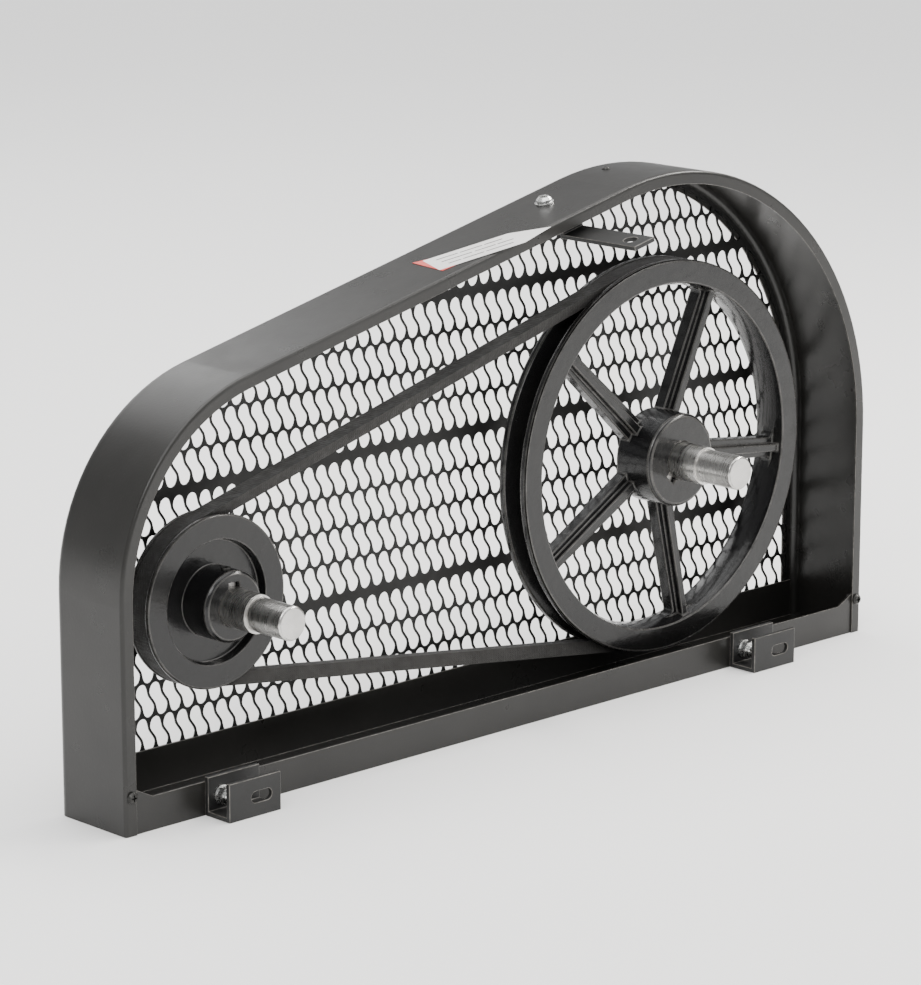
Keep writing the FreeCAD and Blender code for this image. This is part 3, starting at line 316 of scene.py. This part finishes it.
def dress(name):
    """Give a CAD node its finish, and soft edges where it has them."""
    item = NODES[name]
    item.data.materials.clear()
    item.data.materials.append(MATERIALS[SLOT_OF[name]])
    if name not in EDGES:
        return
    width, edge = EDGES[name]
    item.data.materials.append(edge)
    weld = item.modifiers.new("weld", "WELD")
    weld.merge_threshold = 1e-6
    flat = item.modifiers.new("flat", "DECIMATE")
    flat.decimate_type = "DISSOLVE"
    flat.angle_limit = math.radians(0.4)
    bevel = item.modifiers.new("bevel", "BEVEL")
    bevel.width = width * MM
    bevel.segments = 2
    bevel.limit_method = "ANGLE"
    bevel.angle_limit = math.radians(38)
    bevel.use_clamp_overlap = False
    # the bevel faces take the edge colour, which on painted and cast pieces is a painted highlight line
    bevel.material = 1
    item.modifiers.new("normals", "WEIGHTED_NORMAL").keep_sharp = True


for node_name in NODES:
    dress(node_name)


# ---------------------------------------------------------------- pieces in place of CAD nodes

def piece(name, mesh, materials, body="guard"):
    """A new object that rides on a body."""
    made = bpy.data.objects.new(name, mesh)
    bpy.context.scene.collection.objects.link(made)
    for material in materials:
        mesh.materials.append(material)
    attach(made, body)
    return made


def flat_outline(name, towards):
    """Corner loops of a CAD node's flat side that faces one way, the longest first."""
    source = bmesh.new()
    source.from_mesh(NODES[name].data)
    bmesh.ops.remove_doubles(source, verts=source.verts, dist=1e-6)
    source.normal_update()
    side = {face for face in source.faces if face.normal.dot(towards) > 0.999}
    after = {}
    for face in side:
        for loop in face.loops:
            if not any(other in side for other in loop.edge.link_faces if other is not face):
                after[loop.vert.index] = (loop.link_loop_next.vert.index, loop.vert.co.copy())
    loops = []
    while after:
        start = next(iter(after))
        run, spot = [], start
        while spot in after:
            spot, corner = after.pop(spot)
            run.append(corner)
        loops.append(run)
    source.free()
    length = lambda run: sum((a - b).length for a, b in zip(run, run[1:] + run[:1]))
    return sorted(loops, key=length, reverse=True)


# the S-shaped slot round its middle, in mm, and how the slots repeat
SLOT_SHAPE = ((-2.60, 10.66), (-5.78, 9.10), (-7.10, 5.33), (-6.24, 2.67), (-4.32, 0.0), (-2.57, -2.67),
              (-1.90, -5.33), (-0.59, -9.11), (2.60, -10.66), (5.78, -9.10), (7.10, -5.33), (6.24, -2.67),
              (4.32, 0.0), (2.57, 2.67), (1.90, 5.33), (0.59, 9.11))
SLOT_PITCH = 10.4
SLOT_HALF = 10.66
BAND_TOP = 128.0
BAND_HEIGHT = 5.2
BAND_ROWS = 4
LOWEST_ROW = -118.0
SHEET_MARGIN = 3.0


def rounded_slot():
    """The slot's outline with a point added between each two, on a smooth curve."""
    count = len(SLOT_SHAPE)
    points = []
    for index in range(count):
        a, b, c, d = (Vector(SLOT_SHAPE[(index + step) % count]) for step in (-1, 0, 1, 2))
        points += [b, (b + c) * 0.5625 - (a + d) * 0.0625]
    return points


def perforated_sheet():
    """The guard's side with its rows of S-shaped slots, cut off at the sheet's border."""
    low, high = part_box("guard_mesh")
    loop = [Vector((corner.x, corner.z)) for corner in flat_outline("guard_mesh", Vector((0, -1, 0)))[0]]
    area = sum(a.x * b.y - b.x * a.y for a, b in zip(loop, loop[1:] + loop[:1]))
    if area < 0:
        loop.reverse()
    border = []
    for before, here, after in zip(loop[-1:] + loop[:-1], loop, loop[1:] + loop[:1]):
        edge_in, edge_out = (here - before).normalized(), (after - here).normalized()
        inward = Vector((-edge_in.y - edge_out.y, edge_in.x + edge_out.x)).normalized()
        border.append(here + inward * SHEET_MARGIN * MM / max(inward.dot(Vector((-edge_in.y, edge_in.x))), 0.5))
    shape = rounded_slot()
    points, faces = [], []

    def ring(corners):
        faces.append(list(range(len(points), len(points) + len(corners))))
        points.extend(corners)

    ring(loop)
    ring(border)
    period = 2 * SLOT_HALF * BAND_ROWS + BAND_HEIGHT
    for block in range(-1, 3):
        for row in range(BAND_ROWS):
            z = BAND_TOP - BAND_HEIGHT - block * period - SLOT_HALF * (2 * row + 1)
            if z < LOWEST_ROW or z - SLOT_HALF > high.z / MM:
                continue
            for column in range(-50, 20):
                x = column * SLOT_PITCH
                if low.x / MM - SLOT_PITCH < x < high.x / MM + SLOT_PITCH:
                    ring([(corner + Vector((x, z))) * MM for corner in shape])
    flat, _, triangles, _, _, origins = delaunay_2d_cdt(points, [], faces, 1, 1e-7)
    kept = [corners for corners, inside in zip(triangles, origins)
            if 0 in inside and not (1 in inside and any(face > 1 for face in inside))]
    used = sorted({corner for corners in kept for corner in corners})
    number = {corner: index for index, corner in enumerate(used)}
    near = [(flat[corner].x, low.y, flat[corner].y) for corner in used]
    far = [(x, high.y, z) for x, _, z in near]
    count = len(near)
    faces = []
    edges = {}
    for corners in kept:
        a = [number[corner] for corner in corners]
        turn = normal([Vector(near[corner]) for corner in a])
        if turn.y > 0:
            a.reverse()
        faces.append(a)
        faces.append([corner + count for corner in reversed(a)])
        for start, stop in zip(a, a[1:] + a[:1]):
            if (stop, start) in edges:
                del edges[stop, start]
            else:
                edges[start, stop] = True
    faces += [[stop, start, start + count, stop + count] for start, stop in edges]
    mesh = bpy.data.meshes.new("perforated_sheet")
    mesh.from_pydata(near + far, [], faces)
    mesh.validate()
    made = piece("perforated_sheet", mesh, [MATERIALS["mesh_paint"]])
    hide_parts("guard_mesh")
    return made


perforated_sheet()


# the label's white middle, and its rows of short strokes as (start, end) along it, in mm from the tail
LABEL_WHITE = ((2.6, -12.2), (62.0, -12.2), (86.5, 0.0), (62.0, 12.2), (2.6, 12.2))
LABEL_BACK = 0.25
WHITE_RISE = 0.03
STROKE_RISE = 0.06
STROKE_WIDTH = 1.1
STROKES = (
    (6.2, ((9.0, 24.0), (25.5, 41.0), (42.5, 55.0))),
    (0.2, ((10.0, 31.0), (33.0, 47.5), (49.0, 60.0))),
    (-5.8, ((12.0, 20.5), (22.0, 36.5), (38.0, 57.0))),
)
TAIL_EDGE = 20.0


def slab(mesh, corners, up, top, bottom, index):
    """A closed plate over a flat outline, from bottom to top metres along up."""
    upper = [mesh.verts.new(corner + up * top) for corner in corners]
    lower = [mesh.verts.new(corner + up * bottom) for corner in corners]
    faces = [mesh.faces.new(upper), mesh.faces.new(list(reversed(lower)))]
    for here in range(len(corners)):
        after = (here + 1) % len(corners)
        faces.append(mesh.faces.new((upper[here], lower[here], lower[after], upper[after])))
    for face in faces:
        face.material_index = index


def label():
    """Red arrow with a white middle and three rows of plain strokes."""
    slope = math.radians(13.4)
    rim = flat_outline("direction_label", Vector((-math.sin(slope), 0, math.cos(slope))))[0]
    up = normal(rim)
    if up.z < 0:
        rim.reverse()
        up = -up
    pairs = [(a, b) for a, b in zip(rim, rim[1:] + rim[:1]) if (a - b).length > TAIL_EDGE * MM]
    tail = min(pairs, key=lambda pair: pair[0].x + pair[1].x)
    start = (tail[0] + tail[1]) / 2
    tip = max(rim, key=lambda corner: (corner - start).length)
    along = (tip - start).normalized()
    across = up.cross(along)

    def spread(corners):
        return [start + along * u * MM + across * v * MM for u, v in corners]

    drawn = bmesh.new()
    slab(drawn, rim, up, 0.0, -LABEL_BACK * MM, 1)
    slab(drawn, spread(LABEL_WHITE), up, WHITE_RISE * MM, 0.0, 0)
    half = STROKE_WIDTH / 2
    for row, runs in STROKES:
        for first, last in runs:
            corners = ((first, row - half), (last, row - half), (last, row + half), (first, row + half))
            slab(drawn, spread(corners), up, STROKE_RISE * MM, WHITE_RISE * MM, 2)
    mesh = bpy.data.meshes.new("arrow_label")
    drawn.to_mesh(mesh)
    drawn.free()
    made = piece("arrow_label", mesh, [MATERIALS["label_film"], LABEL_RED, LABEL_LINE])
    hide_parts("direction_label")


label()


# ---------------------------------------------------------------- stage

LOW, HIGH = (Vector(corner) for corner in CAD_BOX)
MIDDLE = (LOW + HIGH) / 2
FLOOR_SIZE = 12.0


def plain(name, colour, rough):
    """Matt paint for the floor."""
    made = Finish(name)
    made.colour(made.ramp(made.noise(1.5, 2.0), ((0.3, colour), (0.7, tuple(part * 0.985 for part in colour)))))
    made.roughness(made.noise(0.4, 2.0), rough, rough + 0.05)
    return made.material


def floor():
    """A wide pale floor under the guard."""
    mesh = bpy.data.meshes.new("floor")
    half = FLOOR_SIZE / 2
    corners = [(MIDDLE.x + x, MIDDLE.y + y, LOW.z) for x, y in ((-half, -half), (half, -half), (half, half),
                                                                   (-half, half))]
    mesh.from_pydata(corners, [], [(0, 1, 2, 3)])
    mesh.materials.append(plain("floor_paint", (0.93, 0.927, 0.92), 0.75))
    made = bpy.data.objects.new("floor", mesh)
    bpy.context.scene.collection.objects.link(made)


def soft_light(name, spot, aim, size, power, tint=(1.0, 1.0, 1.0)):
    """A square softbox at a spot, aimed at the middle of the drive or beside it."""
    lamp = bpy.data.lights.new(name, "AREA")
    lamp.shape = "RECTANGLE"
    lamp.size, lamp.size_y = size
    lamp.energy = power
    lamp.color = tint
    made = bpy.data.objects.new(name, lamp)
    made.location = spot
    made.rotation_euler = (Vector(aim) - Vector(spot)).to_track_quat("-Z", "Y").to_euler()
    bpy.context.scene.collection.objects.link(made)


floor()
soft_light("key", (-1.9, -1.2, 1.7), MIDDLE, (1.2, 0.9), 24)
soft_light("edge", (1.25, -0.5, 1.35), MIDDLE, (1.8, 0.2), 42, (1.0, 0.97, 0.93))
soft_light("fill", (1.0, -2.1, 0.9), MIDDLE, (1.2, 0.9), 9)
soft_light("overhead", (-0.2, 0.2, 2.1), MIDDLE, (1.8, 1.2), 14, (1.0, 0.98, 0.95))
soft_light("back", (0.2, 2.2, 1.5), MIDDLE, (1.6, 1.0), 16)
sky = bpy.data.lights.new("sky", "SUN")
sky.energy = 3.2
sky.angle = math.radians(75)
dome = bpy.data.objects.new("sky", sky)
bpy.context.scene.collection.objects.link(dome)
world = bpy.data.worlds.new("studio")
world.use_nodes = True
world.node_tree.nodes["Background"].inputs["Color"].default_value = (0.93, 0.935, 0.94, 1.0)
world.node_tree.nodes["Background"].inputs["Strength"].default_value = 0.6
bpy.context.scene.world = world

EYE = Vector((-1.8184, -1.7079, 0.5677))
LENS = 141.0
AIM = MIDDLE + Vector((-0.026, 0.027, -0.02))
SENSOR = 36.0
camera = bpy.data.cameras.new("camera")
camera.lens = LENS
camera.sensor_width = SENSOR
camera.sensor_fit = "AUTO"
camera.clip_start = 0.05
holder = bpy.data.objects.new("camera", camera)
holder.location = EYE
holder.rotation_euler = (AIM - EYE).to_track_quat("-Z", "Y").to_euler()
bpy.context.scene.collection.objects.link(holder)
bpy.context.scene.camera = holder
